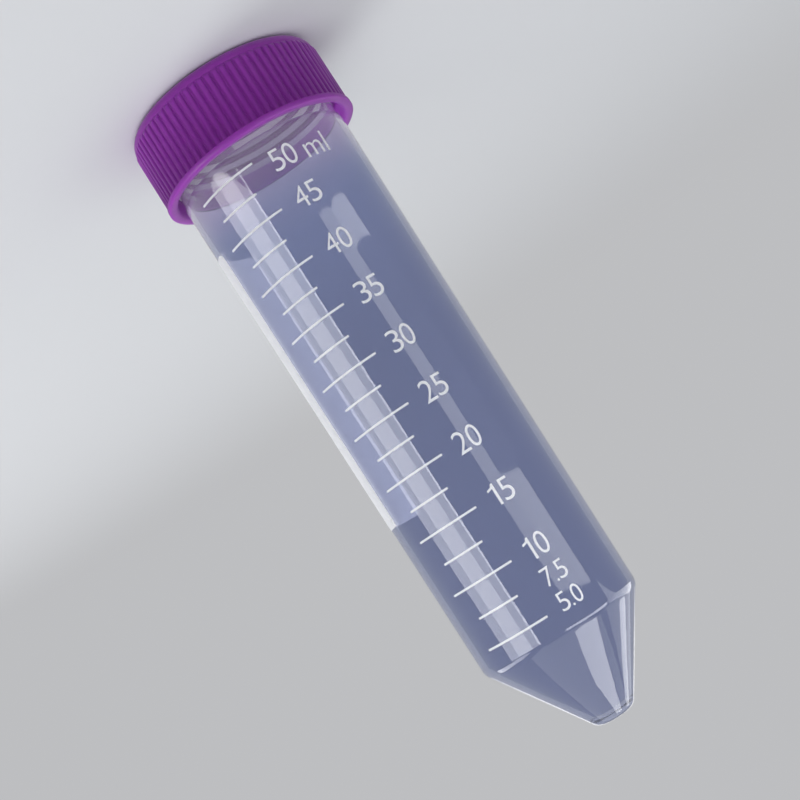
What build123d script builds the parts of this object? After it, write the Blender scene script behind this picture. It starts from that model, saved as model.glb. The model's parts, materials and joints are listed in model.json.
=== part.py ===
"""A 50 ml conical tube with its screw cap, standing on the cap with its tip up.

Millimetres, +Z up. Z = 0 is the flat top of the cap, which is what it stands on, and the
tube's axis is the Z axis. Three pieces: the cap, the sealing liner inside it and the tube.
"""
from build123d import *
from math import atan, cos
import os

# ---- driving dimensions -------------------------------------------------------------
# screw cap
cap_height = 13.3            # from the flat top to the rim of the skirt
cap_wall = 1.3               # the skirt's wall between the ribs, at the flange
cap_edge_round = 1.9         # rolled edge between the flat top and the skirt
cap_top_wall = 1.3           # the flat top's thickness
thread_room = 1.15           # between the tube's neck and the skirt, for the two threads
cap_lead_in = 0.45           # bevel at the mouth of the skirt
flange_width = 0.45          # plain band round the rim, proud of the skirt
flange_height = 1.0
flange_bevel = 0.15
rib_count = 80               # grip ribs round the skirt
rib_height = 0.25            # how far a rib stands proud of the skirt
rib_foot_width = 1.1         # across the rib where it meets the skirt
rib_back_width = 0.5         # across the rib's flat back
rib_run_out = 0.6            # length of the slope at the end by the flat top
rib_end_step = 0.02          # what is left of the rib's height where the slope ends

# sealing liner, a loose disc against the inside of the flat top
liner_thickness = 1.0
liner_clearance = 0.2        # between the liner's edge and the skirt

# tube
tube_length = 115.3          # from the lip to the tip
wall = 1.1                   # wall of the tapered body and of the cone
neck_radius = 14.5           # straight neck that enters the cap
neck_wall = 0.75
shoulder_gap = 0.5           # the shoulder stands this far clear of the cap's rim
shoulder_step = 0.35         # the body is this much wider than the neck, each side
junction_radius = 13.9       # where the body meets the cone
cone_height = 15.9
tip_radius = 3.2             # the cone's small end, before its edge is rounded
tip_wall = 1.5               # floor of the tube, at the tip
lip_bevel = 0.2
shoulder_bevel = 0.25
junction_round = 0.4         # outside, where the body meets the cone
bore_round = 0.6             # inside, at the same place
tip_round = 1.0
floor_round = 1.1

# ---- heights that follow ------------------------------------------------------------
liner_z = cap_top_wall
lip_z = liner_z + liner_thickness
tip_z = lip_z + tube_length
junction_z = tip_z - cone_height
shoulder_z = cap_height + shoulder_gap
floor_z = tip_z - tip_wall
flange_z = cap_height - flange_height
rib_z = cap_edge_round + 0.05

# ---- radii that follow --------------------------------------------------------------
cap_bore_radius = neck_radius + thread_room
cap_skirt_radius = cap_bore_radius + cap_wall
flange_radius = cap_skirt_radius + flange_width
rib_root = cap_wall / 3                            # how deep a rib is rooted in the skirt
liner_radius = cap_bore_radius - liner_clearance
neck_bore_radius = neck_radius - neck_wall
shoulder_radius = neck_radius + shoulder_step
cone_slope = (junction_radius - tip_radius) / cone_height
cone_wall = wall / cos(atan(cone_slope))           # the cone's wall, measured level
body_slope = (shoulder_radius - junction_radius) / (junction_z - shoulder_z)
body_wall = wall / cos(atan(body_slope))
bore_top_radius = shoulder_radius - body_wall
floor_radius = tip_radius + cone_slope * tip_wall - cone_wall
# the bore's two straight lines, body and cone, cross a little nearer the cap
corner_z = junction_z - (cone_wall - body_wall) / (cone_slope - body_slope)
corner_radius = shoulder_radius - body_wall - body_slope * (corner_z - shoulder_z)

# ---- screw cap ----------------------------------------------------------------------
# one grip rib: a straight bar with a narrower back, sloped at the end by the flat top
with BuildPart() as rib:
    with BuildSketch(Plane((cap_skirt_radius, 0, rib_z))):
        Polygon(
            (-rib_root, -rib_foot_width / 2),
            (0, -rib_foot_width / 2),
            (rib_height, -rib_back_width / 2),
            (rib_height, rib_back_width / 2),
            (0, rib_foot_width / 2),
            (-rib_root, rib_foot_width / 2),
            align=None,
        )
    extrude(amount=flange_z - rib_z)
    rib_end = rib.faces().sort_by(Axis.Z)[0]
    end_edge = rib_end.edges().sort_by(Axis.X)[-1]
    chamfer(end_edge, rib_height - rib_end_step, rib_run_out, reference=rib_end)

with BuildPart() as screw_cap:
    # outside: flat top, rolled edge, straight skirt and the plain flange at the rim
    with BuildSketch(Plane.XZ) as cap_outline:
        with BuildLine():
            Polyline(
                (0, 0),
                (cap_skirt_radius, 0),
                (cap_skirt_radius, flange_z),
                (flange_radius, flange_z),
                (flange_radius, cap_height),
                (0, cap_height),
                close=True,
            )
        make_face()
        top_corner = cap_outline.vertices().group_by(Axis.Y)[0].sort_by(Axis.X)[-1]
        fillet(top_corner, cap_edge_round)
        flange_corners = cap_outline.vertices().sort_by(Axis.X)[-2:]
        chamfer(flange_corners, flange_bevel)
    revolve(axis=Axis.Z)
    with PolarLocations(0, rib_count):
        add(rib.part)

    # inside: the bore and the bevel at its mouth
    with BuildSketch(Plane.XZ) as cap_bore:
        with BuildLine():
            Polyline(
                (0, cap_top_wall),
                (cap_bore_radius, cap_top_wall),
                (cap_bore_radius, cap_height - cap_lead_in),
                (cap_bore_radius + cap_lead_in, cap_height),
                (0, cap_height),
                close=True,
            )
        make_face()
    revolve(axis=Axis.Z, mode=Mode.SUBTRACT)
screw_cap.part.label = "screw_cap"

# ---- sealing liner ------------------------------------------------------------------
with BuildPart() as cap_liner:
    with BuildSketch(Plane.XY.offset(liner_z)):
        Circle(liner_radius)
    extrude(amount=liner_thickness)
cap_liner.part.label = "cap_liner"

# ---- tube ---------------------------------------------------------------------------
with BuildPart() as tube:
    # outside: neck, shoulder, drafted body, cone and blunt tip
    with BuildSketch(Plane.XZ) as tube_outline:
        with BuildLine():
            Polyline(
                (0, lip_z),
                (neck_radius, lip_z),
                (neck_radius, shoulder_z),
                (shoulder_radius, shoulder_z),
                (junction_radius, junction_z),
                (tip_radius, tip_z),
                (0, tip_z),
                close=True,
            )
        make_face()
        corners = tube_outline.vertices().sort_by(Axis.Y)
        fillet(corners.filter_by_position(Axis.X, tip_radius, tip_radius), tip_round)
        fillet(corners.filter_by_position(Axis.X, junction_radius, junction_radius), junction_round)
        chamfer(corners.filter_by_position(Axis.X, shoulder_radius, shoulder_radius), shoulder_bevel)
    revolve(axis=Axis.Z)

    # inside: straight mouth, drafted bore, cone and rounded floor
    with BuildSketch(Plane.XZ) as tube_bore:
        with BuildLine():
            Polyline(
                (0, lip_z),
                (neck_bore_radius, lip_z),
                (bore_top_radius, shoulder_z),
                (corner_radius, corner_z),
                (floor_radius, floor_z),
                (0, floor_z),
                close=True,
            )
        make_face()
        corners = tube_bore.vertices()
        fillet(corners.filter_by_position(Axis.X, floor_radius, floor_radius), floor_round)
        fillet(corners.filter_by_position(Axis.X, corner_radius, corner_radius), bore_round)
    revolve(axis=Axis.Z, mode=Mode.SUBTRACT)

    # the lip's two edges
    chamfer(tube.edges().group_by(Axis.Z)[0], lip_bevel)
tube.part.label = "tube"

# ---- files --------------------------------------------------------------------------
os.makedirs("parts", exist_ok=True)
export_step(screw_cap.part, "parts/screw_cap.step")
export_step(cap_liner.part, "parts/cap_liner.step")
export_step(tube.part, "parts/tube.step")
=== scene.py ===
# %% [markdown]
# # A 50 ml conical tube
# A clear plastic tube with a cone at its closed end stands on its purple screw cap. The CAD
# model gives the sizes and the way the cap unscrews. This script gives the look: smooth
# turned surfaces, the screw thread, the printed scale and the plastics.

# %% Load the frame
import json
from math import cos, pi, radians, sin, tan
import bmesh
import bpy
from mathutils import Matrix, Quaternion, Vector


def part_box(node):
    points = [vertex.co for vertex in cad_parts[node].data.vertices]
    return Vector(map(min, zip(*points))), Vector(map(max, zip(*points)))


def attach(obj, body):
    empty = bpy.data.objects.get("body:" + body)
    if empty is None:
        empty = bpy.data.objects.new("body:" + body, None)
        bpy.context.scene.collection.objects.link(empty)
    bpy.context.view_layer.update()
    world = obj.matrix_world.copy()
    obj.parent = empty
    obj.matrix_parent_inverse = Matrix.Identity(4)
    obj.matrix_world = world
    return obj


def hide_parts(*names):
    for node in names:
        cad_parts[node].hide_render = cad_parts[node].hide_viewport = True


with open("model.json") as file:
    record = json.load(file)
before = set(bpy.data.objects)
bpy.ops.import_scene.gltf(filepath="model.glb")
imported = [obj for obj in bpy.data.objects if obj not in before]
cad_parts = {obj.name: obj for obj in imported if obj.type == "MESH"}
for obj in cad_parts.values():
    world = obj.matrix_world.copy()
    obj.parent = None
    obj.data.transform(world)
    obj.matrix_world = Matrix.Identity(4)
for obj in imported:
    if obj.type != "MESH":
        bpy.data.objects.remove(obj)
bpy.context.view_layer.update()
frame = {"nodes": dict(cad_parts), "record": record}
bpy.context.scene.view_settings.view_transform = "Standard"
MM = 0.001
cap_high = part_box("screw_cap")[1]
tube_low, tube_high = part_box("tube")
print("tube from", tube_low, "to", tube_high)

# %% [markdown]
# ## Sizes
# The real tube is moulded, and its sizes are those of the CAD part, in metres. They could be
# read off the CAD mesh, but only its ends are exact there, because the mesh is made of flat
# facets. So the ends come from the frame and the rest is written down once, here.

# %% Sizes of the tube
lip_z = tube_low[2]
tip_z = tube_high[2]
shoulder_radius = tube_high[0]
rim_z = cap_high[2]
shoulder_z = rim_z + 0.5 * MM
neck_radius = 14.5 * MM
neck_bore_radius = 13.75 * MM
wall = 1.1 * MM
junction_radius = 13.9 * MM
junction_z = tip_z - 15.9 * MM
tip_radius = 3.2 * MM
tip_wall = 1.5 * MM
cone_slope = (junction_radius - tip_radius) / (tip_z - junction_z)
body_slope = (shoulder_radius - junction_radius) / (junction_z - shoulder_z)
cone_wall = wall * (1 + cone_slope**2) ** 0.5
body_wall = wall * (1 + body_slope**2) ** 0.5
corner_z = junction_z - (cone_wall - body_wall) / (cone_slope - body_slope)
print("body slope", round(body_slope, 5), "cone slope", round(cone_slope, 5))

# %% Radii at any height


def outer_radius(z):
    """The body's outer radius at height z, between the shoulder and the cone."""
    return shoulder_radius - body_slope * (z - shoulder_z)


def bore_radius(z):
    """The bore's radius at height z, in the body or in the cone."""
    if z < corner_z:
        return outer_radius(z) - body_wall
    return tip_radius + cone_slope * (tip_z - z) - cone_wall


print("bore at the corner", round(bore_radius(corner_z), 5))

# %% [markdown]
# ## Materials
# A material is a tree of nodes. It could be wired by hand in the editor, but a tree in code
# can be read and changed line by line. Node maths reads best as plain expressions, so
# `Socket` wraps an output and adds the Math node behind each operator that is used here.

# %% Sockets


class Socket:
    """An output socket that can be used in sums and products."""

    def __init__(self, tree, output):
        self.tree = tree
        self.output = output

    def maths(self, operation, a, b):
        made = self.tree.node("ShaderNodeMath", {"operation": operation}, {0: a, 1: b})
        return made[0]

    def __add__(self, other):
        return self.maths("ADD", self, other)

    __radd__ = __add__

    def __mul__(self, other):
        return self.maths("MULTIPLY", self, other)

    __rmul__ = __mul__


print("sockets add and multiply")

# %% [markdown]
# Every other node comes from one method. It takes the node's type, its settings and the
# values or links of its sockets, so a whole node fits in one line.

# %% Node trees


class Tree:
    """A node tree, and the one method that makes a node in it."""

    def __init__(self, node_tree):
        self.node_tree = node_tree
        node_tree.nodes.clear()

    def make(self, kind, settings, inputs):
        made = self.node_tree.nodes.new(kind)
        for setting, value in settings.items():
            setattr(made, setting, value)
        for key, value in inputs.items():
            key = key.replace("_", " ") if isinstance(key, str) else key
            self.feed(made.inputs[key], value)
        return made

    def feed(self, target, value):
        """Give a socket a value, or link it to another node's output."""
        if isinstance(value, Socket):
            value = value.output
        if isinstance(value, bpy.types.NodeSocket):
            self.node_tree.links.new(value, target)
        else:
            target.default_value = value

    def node(self, kind, settings=None, inputs=None):
        """Any node, as the list of its outputs."""
        made = self.make(kind, settings or {}, inputs or {})
        return [Socket(self, output) for output in made.outputs]


print("node trees ready")

# %% [markdown]
# A paint is a material with one Principled surface. All patterns sit in Object coordinates,
# so they stay on a piece when it moves, and they need no unwrapping.

# %% Paints


class Paint(Tree):
    """One material with a Principled surface."""

    def __init__(self, name, **values):
        self.material = bpy.data.materials.new(name)
        self.material.use_nodes = True
        super().__init__(self.material.node_tree)
        self.surface = self.make("ShaderNodeBsdfPrincipled", {}, values)
        self.end = self.make("ShaderNodeOutputMaterial", {}, {"Surface": self.surface.outputs[0]})

    def set(self, name, value):
        """Set or link one input of the surface."""
        self.feed(self.surface.inputs[name], value)

    def place(self):
        """The Object coordinates, in metres."""
        return self.node("ShaderNodeTexCoord")[3]

    def noise(self, scale, detail=3.0, roughness=0.5):
        inputs = {"Vector": self.place(), "Scale": scale, "Detail": detail, "Roughness": roughness}
        return self.node("ShaderNodeTexNoise", {}, inputs)[0]

    def fade(self, value, start, end):
        """A smooth step from 0 at start to 1 at end."""
        inputs = {"Value": value, 1: start, 2: end}
        return self.node("ShaderNodeMapRange", {"interpolation_type": "SMOOTHSTEP"}, inputs)[0]

    def blend(self, factor, first, second):
        """A colour between two colours."""
        made = self.make("ShaderNodeMix", {"data_type": "RGBA"}, {0: factor, 6: first, 7: second})
        return made.outputs[2]

    def bump(self, height, distance, strength=1.0):
        """Fine relief on the surface, distance metres high."""
        inputs = {"Height": height, "Distance": distance, "Strength": strength}
        self.set("Normal", self.node("ShaderNodeBump", {}, inputs)[0])


print("paints ready")

# %% [markdown]
# ### Clear plastic
# The tube is natural plastic, clear with a cool cast. A Glass shader could do it, but a
# Principled surface with transmission takes its tint, roughness and relief in one place. Two
# walls deepen the cast, so the tint of one is lighter than the tube looks. Towards the cap
# the tint fades to a light lilac, which is a painted purple glow of the cap. The neck stays
# nearly bare, and so does the wall under the writing panel, which is painted light that
# makes the panel look paler through the tube.

# %% Where the tube is tinted, and where light is painted on it
panel_span = (tip_z - 93.75 * MM, tip_z - 42.6 * MM)
panel_arc = (radians(36.3), radians(107.9))
tint_starts, tint_full = 13 * MM, 25 * MM
plastic_ior = 1.49

clear = Paint("clear_tube_plastic", IOR=plastic_ior, Transmission_Weight=0.92)
along_x, along_y, height = clear.node("ShaderNodeSeparateXYZ", {}, {0: clear.place()})
azimuth_here = along_y.maths("ARCTAN2", along_y, along_x)
towards_body = clear.fade(height, tint_starts, tint_full)


def between(value, low, high):
    """1 where a socket's value lies between two numbers, else 0."""
    return value.maths("GREATER_THAN", value, low) * value.maths("LESS_THAN", value, high)


# under the writing panel the wall is left untinted, a painted lightening of the panel seen through
# the tube
painted_panel_light = between(azimuth_here, *panel_arc) * between(height, *panel_span)
in_cap = height.maths("LESS_THAN", height, shoulder_z)
bare = painted_panel_light.maths("MAXIMUM", painted_panel_light, in_cap)
print("tint starts at", tint_starts, "and is full at", tint_full)

# %% [markdown]
# A weak large noise gives the slow ripple that a moulded wall has, and it bends the
# reflections a little. A finer one breaks up the gloss.

# %% Tube plastic
# the lilac near the cap is a painted purple glow of the cap; the slate blue is the plastic's own
# tint
painted_glow_to_tint = clear.blend(towards_body, (0.72, 0.66, 0.80, 1), (0.43, 0.47, 0.645, 1))
# near white where the neck is bare, and under the panel, where this is painted light
clear.set("Base Color", clear.blend(bare, painted_glow_to_tint, (0.95, 0.94, 0.98, 1)))
clear.bump(clear.noise(90, detail=2.0), 0.05 * MM, 0.25)
clear.set("Roughness", clear.noise(400) * 0.03 + 0.02)
print("clear plastic bends light by", plastic_ior)

# %% [markdown]
# A renderer finds it hard to follow lamp light through two bent walls, so the inside would
# stay dark. Rays that carry light to a lamp, and rays that leave a matt surface, therefore
# pass straight through. The camera still sees the real, bending plastic.

# %% Let light in
ray = clear.node("ShaderNodeLightPath")
shadow_ray, diffuse_ray = ray[1], ray[2]
passing = clear.node("ShaderNodeBsdfTransparent", {}, {"Color": (0.96, 0.965, 0.985, 1)})[0]
lets_light_in = clear.surface.outputs[0]
for kind_of_ray in (shadow_ray, diffuse_ray):
    inputs = {0: kind_of_ray, 1: lets_light_in, 2: passing}
    lets_light_in = clear.node("ShaderNodeMixShader", {}, inputs)[0]
clear.feed(clear.end.inputs["Surface"], lets_light_in)
print("clear plastic has", len(clear.node_tree.nodes), "nodes")

# %% [markdown]
# The thread on the neck is the same plastic. With the same clear surface its ridges would
# hardly show, so it gets a duller skin, lets half of the light through and is coloured a pale
# lilac white. That pale colour is a painted highlight: each ridge shows as a pale line, where
# the real ridges catch glints of light.

# %% Thread plastic with painted highlights
painted_highlight_thread = Paint(
    "painted_highlight_thread",
    # pale lilac white: a painted highlight on the ridges
    Base_Color=(0.91, 0.84, 0.95, 1),
    IOR=plastic_ior,
    Transmission_Weight=0.5,
)
painted_highlight_thread.set("Roughness", painted_highlight_thread.noise(400) * 0.06 + 0.12)
print("thread plastic has", len(painted_highlight_thread.node_tree.nodes), "nodes")

# %% [markdown]
# ### Purple cap
# The cap is moulded in a deep purple plastic with a satin skin. One flat colour would look
# like paint, so its colour drifts a little, as pigment does, the skin has a very fine grain,
# and some light goes in and comes out again nearby, which softens the ribs.

# %% Cap plastic
purple = Paint(
    "purple_cap_plastic",
    Roughness=0.45,
    IOR=plastic_ior,
    Specular_IOR_Level=0.3,
    Subsurface_Weight=0.6,
    Subsurface_Radius=(1.0, 0.35, 1.2),
    Subsurface_Scale=1.5 * MM,
)
drift = purple.noise(120, detail=4.0)
purple.set("Base Color", purple.blend(drift, (0.225, 0.018, 0.305, 1), (0.275, 0.028, 0.365, 1)))
purple.set("Roughness", purple.noise(900) * 0.12 + 0.38)
purple.bump(purple.noise(2500, detail=2.0), 0.01 * MM, 0.5)
print("cap plastic has", len(purple.node_tree.nodes), "nodes")

# %% [markdown]
# ### Liner
# The liner is a disc of pale closed foam, dull and finely pitted. Modelled pits would cost
# thousands of faces, so a Voronoi pattern dents each cell instead and darkens it, which is
# painted shade in the pit.

# %% Liner foam
foam = Paint("liner_foam", Roughness=0.75)
pit_depth_and_painted_shade = foam.node("ShaderNodeTexVoronoi", {}, {"Vector": foam.place(), "Scale": 2600.0})[0]
# darker in each pit: painted shade
foam.set("Base Color", foam.blend(pit_depth_and_painted_shade, (0.62, 0.61, 0.58, 1), (0.80, 0.79, 0.76, 1)))
foam.bump(pit_depth_and_painted_shade, 0.05 * MM, 0.6)
print("foam has", len(foam.node_tree.nodes), "nodes")

# %% [markdown]
# ### Ink
# The ink is white, a touch cool, and covers a little unevenly, which shows as a faint
# mottle. A film of ink is so thin that light comes through it, so it gets subsurface light.
# Without that, print seen from behind, through the tube, would look dark. The panel is a
# thicker, duller coat.

# %% White ink
glow_through = {"Subsurface_Radius": (1.0, 1.0, 1.0), "Subsurface_Scale": 0.5 * MM}


def white_paint(name, mottle_scale, detail, darker, lighter, relief, **values):
    """A white ink whose mottle runs between two colours."""
    paint = Paint(name, **values, **glow_through)
    mottle = paint.noise(mottle_scale, detail=detail)
    paint.set("Base Color", paint.blend(mottle, darker, lighter))
    paint.bump(mottle, relief, 0.4)
    return paint


ink = white_paint(
    "white_ink", 1500, 3.0, (0.90, 0.91, 0.94, 1), (0.96, 0.96, 0.98, 1), 0.01 * MM,
    Roughness=0.42, Subsurface_Weight=0.8,
)
panel_ink = white_paint(
    "panel_ink", 700, 4.0, (0.84, 0.84, 0.88, 1), (0.92, 0.92, 0.95, 1), 0.015 * MM,
    Roughness=0.55, Subsurface_Weight=1.0,
)
print("inks", ink.material.name, "and", panel_ink.material.name)

# %% [markdown]
# ## The tube
# The real tube is one moulding: a neck, a shoulder that just shows below the cap, a slightly
# tapered body, a cone and a blunt tip. Cylinders and cones could be joined, but a section
# that spins gives one closed shell with true roundings, as a lathe would. The section runs
# up the outside and back down the inside.

# %% Section of the tube
tube_section = [
    (neck_bore_radius, lip_z),
    (neck_radius, lip_z),
    (neck_radius, shoulder_z),
    (shoulder_radius, shoulder_z),
    (junction_radius, junction_z),
    (tip_radius, tip_z),
    (0, tip_z),
    (0, tip_z - tip_wall),
    (bore_radius(tip_z - tip_wall), tip_z - tip_wall),
    (bore_radius(corner_z), corner_z),
    (bore_radius(shoulder_z), shoulder_z),
    (neck_bore_radius, lip_z),
]
print("section points", len(tube_section))

# %% [markdown]
# A bevel on a point of the section rounds the whole corner once the section has turned. The
# points that follow a rounded corner move up in the list, so the roundings go from the last
# corner to the first.

# %% Spin a section
weld = 0.001 * MM  # points closer than this become one


def turned(section, roundings, steps=160, segments=5):
    """Spin a section round Z. Section points are (radius, height); roundings maps a point's
    index to the radius of its corner."""
    bm = bmesh.new()
    points = [bm.verts.new((radius, 0, height)) for radius, height in section]
    for a, b in zip(points, points[1:]):
        bm.edges.new((a, b))
    for index, radius in roundings.items():
        bmesh.ops.bevel(
            bm,
            geom=[points[index]],
            offset=radius,
            offset_type="OFFSET",
            affect="VERTICES",
            segments=segments,
            profile=0.5,
            material=-1,
        )
    bmesh.ops.spin(
        bm,
        geom=bm.verts[:] + bm.edges[:],
        axis=(0, 0, 1),
        cent=(0, 0, 0),
        angle=2 * pi,
        steps=steps,
        use_merge=True,
    )
    bmesh.ops.remove_doubles(bm, verts=bm.verts[:], dist=weld)
    bmesh.ops.recalc_face_normals(bm, faces=bm.faces[:])
    return bm


tube_bm = turned(
    tube_section,
    {9: 0.6 * MM, 8: 1.1 * MM, 5: 1.0 * MM, 4: 0.7 * MM, 3: 0.25 * MM, 1: 0.2 * MM},
)
print("turned", len(tube_bm.faces), "faces")

# %% [markdown]
# Every mesh starts in a bmesh, and one function turns it into an object that rides on a body
# of the frame. Smooth shading hides the facets, and the angle keeps real corners sharp.

# %% Finish the tube


def finish_piece(name, bm, material, body, smooth_angle=None):
    """Make an object from bm and hang it on a body of the frame."""
    mesh = bpy.data.meshes.new(name)
    bm.to_mesh(mesh)
    bm.free()
    mesh.materials.append(material)
    if smooth_angle:
        mesh.shade_smooth()
        mesh.set_sharp_from_angle(angle=radians(smooth_angle))
    piece = bpy.data.objects.new(name, mesh)
    bpy.context.scene.collection.objects.link(piece)
    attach(piece, body)
    print(name, len(mesh.polygons), "faces")
    return piece


tube_shell = finish_piece("tube_shell", tube_bm, clear.material, "tube", smooth_angle=40)
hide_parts("tube")
print("tube shell height", round(tube_shell.dimensions.z, 5))

# %% [markdown]
# ## The screw thread
# The real thread is moulded, outside the neck and inside the cap. A Screw modifier could make
# one, but a small section that turns and climbs in the same spin gives closed ridges straight
# away. The neck has two ridges that start on opposite sides, and so has the cap. One set
# sits a quarter of the lead above the other, so each ridge runs in a groove as the tube
# screws out.

# %% Lead of the thread
coupling = frame["record"]["behaviour"]["couplings"][0]
lead = coupling["ratio"] * 2 * pi
print("lead in mm", round(lead / MM, 3))

# %% Helical ridges
thread_angle = radians(140)
run_out = 12  # steps over which the end of a ridge sinks into the wall


def ridges(root, crest, start_z, turns, base, top, steps=96):
    """Two closed helical ridges from radius root to radius crest, half a turn apart. Their
    ends sink slowly into the wall."""
    bm = bmesh.new()
    section = [(root, -base), (crest, -top), (crest, top), (root, base)]
    corners = [bm.verts.new((radius, 0, start_z + rise)) for radius, rise in section]
    first = bm.faces.new(corners)
    turn = Matrix.Rotation(thread_angle, 3, "Z")
    bmesh.ops.rotate(bm, verts=bm.verts[:], cent=(0, 0, 0), matrix=turn)
    bmesh.ops.spin(
        bm,
        geom=[first],
        axis=(0, 0, 1),
        cent=(0, 0, 0),
        dvec=(0, 0, lead * turns / steps),
        angle=2 * pi * turns,
        steps=steps,
    )
    for index, vertex in enumerate(bm.verts):
        step = index // len(section)
        height = min(1.0, (step + 0.5) / run_out, (steps - step + 0.5) / run_out)
        flat = Vector((vertex.co.x, vertex.co.y, 0))
        vertex.co += flat.normalized() * (root - flat.length) * (1 - height)
    bmesh.ops.recalc_face_normals(bm, faces=bm.faces[:])
    second = bmesh.ops.duplicate(bm, geom=bm.verts[:] + bm.edges[:] + bm.faces[:])["geom"]
    second_verts = [part for part in second if isinstance(part, bmesh.types.BMVert)]
    half_turn = Matrix.Rotation(pi, 3, "Z")
    bmesh.ops.rotate(bm, verts=second_verts, cent=(0, 0, 0), matrix=half_turn)
    return bm


# %% Cut the two threads
thread_start = 3.9 * MM
rooted = 0.1 * MM  # how deep a ridge stands in its wall
cap_bore_radius = 15.65 * MM
neck_crest, cap_crest = 15.3 * MM, 14.85 * MM
neck_ridges = ridges(
    neck_radius - rooted, neck_crest, thread_start, 1.85, base=0.5 * MM, top=0.15 * MM
)
finish_piece("neck_thread", neck_ridges, painted_highlight_thread.material, "tube", 35)
cap_ridges = ridges(
    cap_bore_radius + rooted, cap_crest, thread_start + lead / 4, 1.4, base=0.45 * MM, top=0.2 * MM
)
finish_piece("cap_thread", cap_ridges, purple.material, "cap", 35)

# %% [markdown]
# ## The cap
# The real cap has a flat top, a rolled edge, a flange and ribs that a gloved hand can grip.
# The CAD cap has every one of them, so it isn't made again. Its mesh comes as loose
# triangles, so a copy is merged, and then only its real corners stay sharp.

# %% Smooth the cap
cap_bm = bmesh.new()
cap_bm.from_mesh(frame["nodes"]["screw_cap"].data)
bmesh.ops.remove_doubles(cap_bm, verts=cap_bm.verts[:], dist=weld)
cap_shell = finish_piece("cap_shell", cap_bm, purple.material, "cap", smooth_angle=38)
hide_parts("screw_cap")

# %% [markdown]
# The liner is a plain disc with flat faces, so its CAD mesh is good enough to be seen. It
# only needs its foam.

# %% Dress the liner
liner_mesh = frame["nodes"]["cap_liner"].data
liner_mesh.materials.clear()
liner_mesh.materials.append(foam.material)
print("liner keeps its CAD mesh,", len(liner_mesh.polygons), "faces")

# %% [markdown]
# ## The printed scale
# The real scale is screen printed in white ink. A decal could be laid on the wall, but its
# edges would blur when seen close, so each mark is a thin mesh. It starts as a flat plate
# that is cut into narrow strips, and `wrap` then bends it round the tapered body. On the
# plate, X is the way the numbers read and Y is up towards the cap, which is down here
# because the tube stands on its cap.

# %% Cut print into strips
film = 0.04 * MM  # thickness of the ink
lift = 0.01 * MM  # gap between the wall and the ink
strip_width = 0.45 * MM
sliver = 0.001 * MM


def strips(bm, width, across=Vector((1, 0, 0))):
    """Cut the plate into strips along one direction, so that it can bend."""
    low = min(v.co.dot(across) for v in bm.verts)
    high = max(v.co.dot(across) for v in bm.verts)
    count = int((high - low) / width)
    for i in range(1, count + 1):
        cut = across * (low + (high - low) * i / (count + 1))
        geom = bm.verts[:] + bm.edges[:] + bm.faces[:]
        bmesh.ops.bisect_plane(bm, geom=geom, plane_co=cut, plane_no=across)


print("ink is", film, "m thick and", lift, "m off the wall")

# %% Bend flat print round the tube


def wrap(bm, azimuth, z):
    """Bend a flat plate round the body, its centre at azimuth and height z."""
    strips(bm, strip_width)
    # the cuts leave slivers in a figure's long flat faces
    for _ in range(2):
        bmesh.ops.triangulate(bm, faces=bm.faces[:])
        bmesh.ops.dissolve_degenerate(bm, dist=sliver, edges=bm.edges[:])
    around = outer_radius(z)
    for vertex in bm.verts:
        x, y, height = vertex.co
        angle = azimuth - x / around
        radius = outer_radius(z - y) + lift + height
        vertex.co = (radius * cos(angle), radius * sin(angle), z - y)


print("strips on the body turn by", round(strip_width / outer_radius(junction_z), 4), "rad")

# %% Flat plates of ink
tick_width, long_tick, short_tick = 0.34 * MM, 11.7 * MM, 7.65 * MM


def plate(width, height, corner=0.0):
    """A thin plate of ink, its underside at zero, with rounded corners if asked."""
    bm = bmesh.new()
    size = Matrix.Diagonal((width, height, film, 1))
    bmesh.ops.create_cube(bm, size=1, matrix=Matrix.Translation((0, 0, film / 2)) @ size)
    if corner:
        upright = [e for e in bm.edges if abs(e.verts[0].co.z - e.verts[1].co.z) > film / 2]
        bmesh.ops.bevel(
            bm,
            geom=upright,
            offset=corner,
            offset_type="OFFSET",
            affect="EDGES",
            segments=6,
            profile=0.5,
            material=-1,
        )
    return bm


sample = plate(long_tick, tick_width, tick_width * 0.3)
print("a long tick has", len(sample.faces), "faces before it bends")
sample.free()

# %% [markdown]
# The ticks stand where the bore really holds each volume. The script pours thin slices into
# the tube from the tip towards the cap and notes the height at every 2.5 ml.

# %% Heights from volumes
ML = 1e-6
print_shift = 0.3 * MM  # the whole print sits this much nearer the tip


def fill_heights(step_ml, last_ml, slice_height=0.02 * MM):
    """The height that the tube is filled to at each multiple of step_ml."""
    heights = {}
    volume = 0.0
    z = tip_z - tip_wall
    wanted = step_ml
    while wanted <= last_ml:
        z -= slice_height
        volume += pi * bore_radius(z) ** 2 * slice_height
        if volume >= wanted * ML:
            heights[wanted] = z + print_shift
            wanted += step_ml
    return heights


levels = fill_heights(2.5, 50)
for ml, z in levels.items():
    print(ml, "ml at", round((tip_z - z) / MM, 2), "mm from the tip")

# %% [markdown]
# The screen is often set a little askew, so the print drifts round the tube from one end to
# the other. The whole scale drifts with it.

# %% A scale set askew
askew_at_50, askew_gain = 0.5, 1.4  # degrees


def askew(z):
    """How far round the print has drifted at height z."""
    return radians(askew_at_50 - askew_gain * (z - levels[50]) / (levels[5] - levels[50]))


print("drift at 50 and at 5 ml", round(askew(levels[50]), 4), round(askew(levels[5]), 4))

# %% [markdown]
# Every 5 ml has a long tick and the levels between have a short one, all centred near the X
# axis. All ticks are joined in one mesh, since one screen prints them in one pass.

# %% Print the ticks


def join(target, source):
    """Add one bmesh to another."""
    mesh = bpy.data.meshes.new("passing")
    source.to_mesh(mesh)
    source.free()
    target.from_mesh(mesh)
    bpy.data.meshes.remove(mesh)


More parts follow.
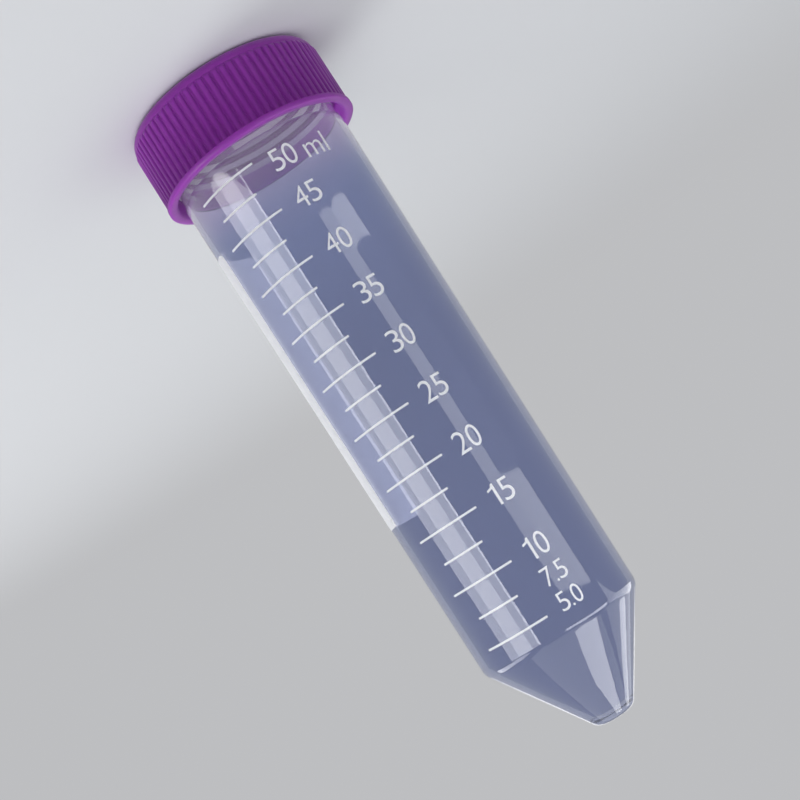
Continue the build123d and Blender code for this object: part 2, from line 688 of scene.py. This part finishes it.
ticks = bmesh.new()
for ml, z in levels.items():
    if ml < 5:
        continue
    tick = plate(long_tick if ml % 5 == 0 else short_tick, tick_width, tick_width * 0.3)
    wrap(tick, askew(z), z)
    join(ticks, tick)
finish_piece("scale_ticks", ticks, ink.material, "tube", 30)

# %% [markdown]
# The numbers are text made into a mesh while it still lies flat. Drawing each figure by hand
# would take far longer. Each is stretched to the height and width of the printed one and
# then wrapped like the ticks.

# %% Figures as flat meshes
slimmer = -0.006  # the printed strokes are thinner than the font's
big = (1.92 * MM, 3.5 * MM)


def flat_text(body, width, height):
    """A word as a flat bmesh, from (0, 0) to (width, height)."""
    text = bpy.data.curves.new("text_" + body, "FONT")
    text.body = body
    text.extrude = film / 2
    text.offset = slimmer
    holder = bpy.data.objects.new("text_" + body, text)
    mesh = bpy.data.meshes.new_from_object(holder)
    bpy.data.objects.remove(holder)
    bm = bmesh.new()
    bm.from_mesh(mesh)
    bpy.data.meshes.remove(mesh)
    bmesh.ops.remove_doubles(bm, verts=bm.verts[:], dist=weld)
    bmesh.ops.dissolve_degenerate(bm, dist=10 * weld, edges=bm.edges[:])
    bmesh.ops.recalc_face_normals(bm, faces=bm.faces[:])
    low = Vector([min(v.co[i] for v in bm.verts) for i in range(3)])
    high = Vector([max(v.co[i] for v in bm.verts) for i in range(3)])
    size = high - low
    stretch = Matrix.Diagonal((width / size.x, height / size.y, film / size.z, 1))
    bm.transform(stretch @ Matrix.Translation(-low))
    return bm


sample = flat_text("8", *big)
print("the figure 8 has", len(sample.faces), "faces")
sample.free()

# %% [markdown]
# The printed 1 has a flag, and the one in Blender's own font is only a bar. A short outline
# that is pulled up into a plate makes the right one.

# %% The figure 1


def figure_one(width, height):
    """The figure 1 as a flat bmesh, its stem at the right."""
    stem = 0.118 * height
    outline = [
        (width - stem, 0),
        (width, 0),
        (width, height),
        (width - stem * 0.75, height),
        (width * 0.55, height * 0.87),
        (0, height * 0.81),
        (0, height * 0.71),
        (width - stem, height * 0.78),
    ]
    bm = bmesh.new()
    face = bm.faces.new([bm.verts.new((x, y, 0)) for x, y in outline])
    made = bmesh.ops.extrude_face_region(bm, geom=[face])
    raised = [v for v in made["geom"] if isinstance(v, bmesh.types.BMVert)]
    bmesh.ops.translate(bm, verts=raised, vec=(0, 0, film))
    bmesh.ops.recalc_face_normals(bm, faces=bm.faces[:])
    return bm


sample = figure_one(*big)
print("the figure 1 has", len(sample.faces), "faces")
sample.free()

# %% [markdown]
# A number is set figure by figure, with an even gap. The 1 and the point are narrower than
# the other figures.

# %% Set a number


def number(body, figure_width, height):
    """A number as a flat bmesh, centred, its figures set one by one."""
    bm = bmesh.new()
    gap = 0.085 * height
    pen = 0.0
    for character in body:
        if character == "1":
            width = 0.64 * figure_width
            made = figure_one(width, height)
            width += gap
        elif character == ".":
            width = 0.13 * height
            made = flat_text(character, width, width)
        else:
            width = figure_width
            made = flat_text(character, width, height)
        made.transform(Matrix.Translation((pen, 0, 0)))
        join(bm, made)
        pen += width + gap
    bm.transform(Matrix.Translation((-(pen - gap) / 2, -height / 2, 0)))
    return bm


small = (1.55 * MM, 2.85 * MM)
labels = [(str(ml), levels[ml], *big) for ml in range(10, 50, 5)]
# the 50 and the 5.0 stand off their ticks
labels.append(("50", levels[50] + 1.6 * MM, *big))
labels.append(("7.5", levels[7.5], *small))
labels.append(("5.0", levels[5] - 0.6 * MM, *small))
print("labels", [label[0] for label in labels])

# %% Print the numbers
number_azimuth, unit_azimuth = radians(-40.9), radians(-61.8)
number_drift = 2.2  # the numbers drift more than the ticks
numbers = bmesh.new()
for body, z, width, height in labels:
    word = number(body, width, height)
    wrap(word, number_azimuth + askew(z) * number_drift, z)
    join(numbers, word)
unit_width, unit_height = 4.2 * MM, 3.55 * MM
unit = flat_text("ml", unit_width, unit_height)
unit.transform(Matrix.Translation((-unit_width / 2, -unit_height / 2, 0)))
wrap(unit, unit_azimuth, levels[50] + 1.9 * MM)
join(numbers, unit)
finish_piece("scale_numbers", numbers, ink.material, "tube")

# %% [markdown]
# The writing panel is a plain field of ink on the side of the tube, where a pencil can mark
# it. It is one large plate, so it is cut across as well as along, which lets it follow the
# taper.

# %% Print the panel
panel_row = 2.5 * MM
panel_middle = sum(panel_span) / 2
panel_width = (panel_arc[1] - panel_arc[0]) * outer_radius(panel_middle)
panel = plate(panel_width, panel_span[1] - panel_span[0], corner=1.5 * MM)
strips(panel, panel_row, Vector((0, 1, 0)))
wrap(panel, sum(panel_arc) / 2, panel_middle)
finish_piece("writing_panel", panel, panel_ink.material, "tube", 30)

# %% [markdown]
# ## The stage
# The tube stands on its cap on a pale floor. A floor with an edge would draw a horizon
# behind the clear wall. So the floor is a matt surface near the tube, where it takes the
# shadow, and further out it fades into a plain glow of the backdrop's own colour.

# %% Paint of the floor
pale = (0.51, 0.515, 0.53, 1)
near, far, floor_radius = 0.08, 0.45, 6.0
floor_paint = Paint("pale_floor", Base_Color=(0.64, 0.65, 0.67, 1), Roughness=0.8)
matt = floor_paint.surface.outputs[0]
glow = floor_paint.node("ShaderNodeEmission", {}, {"Color": pale, "Strength": 1.0})[0]
distance = floor_paint.node(
    "ShaderNodeVectorMath", {"operation": "LENGTH"}, {0: floor_paint.place()}
)[1]
fade = floor_paint.fade(distance, near, far)
mixed = floor_paint.node("ShaderNodeMixShader", {}, {0: fade, 1: matt, 2: glow})[0]
floor_paint.feed(floor_paint.end.inputs["Surface"], mixed)
print("floor fades between", near, "and", far, "m")

# %% Floor
floor_bm = bmesh.new()
bmesh.ops.create_circle(floor_bm, cap_ends=True, segments=96, radius=floor_radius)
floor_mesh = bpy.data.meshes.new("floor")
floor_bm.to_mesh(floor_mesh)
floor_bm.free()
floor_mesh.materials.append(floor_paint.material)
floor = bpy.data.objects.new("floor", floor_mesh)
bpy.context.scene.collection.objects.link(floor)
floor.visible_glossy = False
print("floor has a radius of", floor_radius, "m")

# %% [markdown]
# The world is the backdrop for the camera and a soft even light for matt surfaces. The two
# can differ, because the Light Path node tells which kind of ray asks.

# %% Backdrop
world = bpy.data.worlds.new("studio")
world.use_nodes = True
bpy.context.scene.world = world
sky = Tree(world.node_tree)
diffuse_ray = sky.node("ShaderNodeLightPath")[2]
sky_light = {"Color": (0.95, 0.97, 1.0, 1), "Strength": 0.52}
lit = sky.node("ShaderNodeBackground", {}, sky_light)[0]
shown = sky.node("ShaderNodeBackground", {}, {"Color": pale})[0]
chosen = sky.node("ShaderNodeMixShader", {}, {0: diffuse_ray, 1: shown, 2: lit})[0]
sky.node("ShaderNodeOutputWorld", {}, {"Surface": chosen})
print("sky light", sky_light["Strength"])

# %% [markdown]
# ## Light
# Two kinds of light are kept apart. Soft boxes light the surfaces at a plain level. Cards
# are seen only in reflections: each draws one bright band on the clear wall and adds no
# light to the print or the floor. Each light is placed by its azimuth and elevation.

# %% A light that faces a point


def direction(azimuth, elevation):
    """The unit vector that points to an azimuth and an elevation."""
    level = cos(elevation)
    return Vector((level * cos(azimuth), level * sin(azimuth), sin(elevation)))


def area_light(name, azimuth, elevation, distance, width, height, radiance, aim):
    """A rectangular light that faces aim. Its power follows from radiance and area."""
    light = bpy.data.lights.new(name, "AREA")
    light.shape = "RECTANGLE"
    light.size = width
    light.size_y = height
    light.energy = radiance * pi * width * height
    away = direction(azimuth, elevation)
    lamp = bpy.data.objects.new(name, light)
    lamp.location = aim + away * distance
    lamp.rotation_mode = "QUATERNION"
    lamp.rotation_quaternion = (-away).to_track_quat("-Z", "Y")
    lamp.visible_camera = False
    bpy.context.scene.collection.objects.link(lamp)
    return lamp


print("azimuth 0 points along", tuple(direction(0, 0)))

# %% Soft boxes
middle_of_tube = Vector((0, 0, 0.06))
box_side = 0.4
# azimuth and elevation in degrees, distance, radiance
boxes = {
    "key_box": (0, 35, 0.6, 2.6),
    "fill_box": (-104, 40, 0.7, 0.5),
    "side_box": (92, 25, 0.6, 4.0),
}
for name, (azimuth, elevation, reach, radiance) in boxes.items():
    angles = radians(azimuth), radians(elevation)
    lamp = area_light(name, *angles, reach, box_side, box_side, radiance, middle_of_tube)
    lamp.visible_glossy = False
    lamp.visible_transmission = False
print(len(boxes), "soft boxes for the surfaces")

# %% [markdown]
# A reflection on a round tube turns twice as fast as its wall, so an upright card covers the
# arc between two azimuths round the tube. Three cards overlap in the broad bright band, and
# three make the slim strip with its two wider ends.

# %% Cards for the body
card_distance = 0.5


def only_in_reflections(lamp):
    """Hide a light from matt surfaces and from light that passes through."""
    lamp.visible_diffuse = False
    lamp.visible_transmission = False


def card(name, low_azimuth, high_azimuth, low_z, high_z, radiance):
    """An upright card between two azimuths and two heights, seen only in reflections."""
    width = 2 * card_distance * tan(radians(high_azimuth - low_azimuth) / 2)
    aim = Vector((0, 0, (low_z + high_z) / 2))
    middle = radians(low_azimuth + high_azimuth) / 2
    lamp = area_light(name, middle, 0, card_distance, width, high_z - low_z, radiance, aim)
    only_in_reflections(lamp)


# azimuths in degrees, heights in metres, radiance
body_cards = {
    "band_card": (4, 52, -0.21, 0.26, 4.5),
    "band_core_card": (16, 38, -0.21, 0.26, 3.4),
    "band_edge_card": (3.5, 6, -0.21, 0.26, 6.0),
    "strip_card": (-68, -51, -0.148, 0.167, 3.0),
    "strip_low_card": (-95, -68, -0.148, -0.112, 4.0),
    "strip_high_card": (-95, -68, 0.0775, 0.167, 3.5),
}
for name, place in body_cards.items():
    card(name, *place)
print(len(body_cards), "cards for the body")

# %% [markdown]
# The cone faces upwards, so its cards hang higher. The corner cards draw the bright line
# where the body meets the cone, and the back card edges the cone with a thin rim of light.

# %% Cards for the cone
cone_aim = Vector((0, 0, tip_z - 8 * MM))
# azimuth and elevation in degrees, width, height, radiance
cone_cards = {
    "cone_card": (-80, 69, 0.20, 0.24, 5.0),
    "cone_edge_card": (-151, 44, 0.09, 0.20, 3.2),
    "cone_side_card": (-140, 30, 0.50, 0.40, 1.0),
    "corner_card_left": (62, 28, 0.60, 0.12, 4.5),
    "corner_card_front": (-67, 30, 0.60, 0.12, 7.0),
    "corner_card_right": (-133, 19, 0.60, 0.20, 2.2),
    "corner_card_back": (152, 19, 0.34, 0.12, 1.2),
    "top_card": (-28, 80, 0.70, 0.70, 0.9),
}
for name, (azimuth, elevation, width, height, radiance) in cone_cards.items():
    angles = radians(azimuth), radians(elevation)
    lamp = area_light(name, *angles, card_distance, width, height, radiance, cone_aim)
    only_in_reflections(lamp)
print(len(cone_cards), "cards for the cone")

# %% [markdown]
# ## Camera
# The camera looks at the tube from a little above its middle and is rolled, so the tube lies
# on a slant with its cap at the upper left. Euler angles would mix the three turns, so the
# view is a quaternion: first the line of sight, then the roll about it.

# %% Camera
camera_data = bpy.data.cameras.new("camera")
camera_data.sensor_width = 36
camera_data.lens = 63.4
camera = bpy.data.objects.new("camera", camera_data)
camera.location = (0.19768, -0.10334, tip_z - 33.95 * MM)
view_azimuth, view_elevation, roll = radians(-28.1), radians(6.53), radians(147.46)
look = -direction(view_azimuth, view_elevation)
camera.rotation_mode = "QUATERNION"
camera.rotation_quaternion = look.to_track_quat("-Z", "Y") @ Quaternion((0, 0, 1), roll)
bpy.context.scene.collection.objects.link(camera)
bpy.context.scene.camera = camera
print("camera at", tuple(round(value, 4) for value in camera.location))
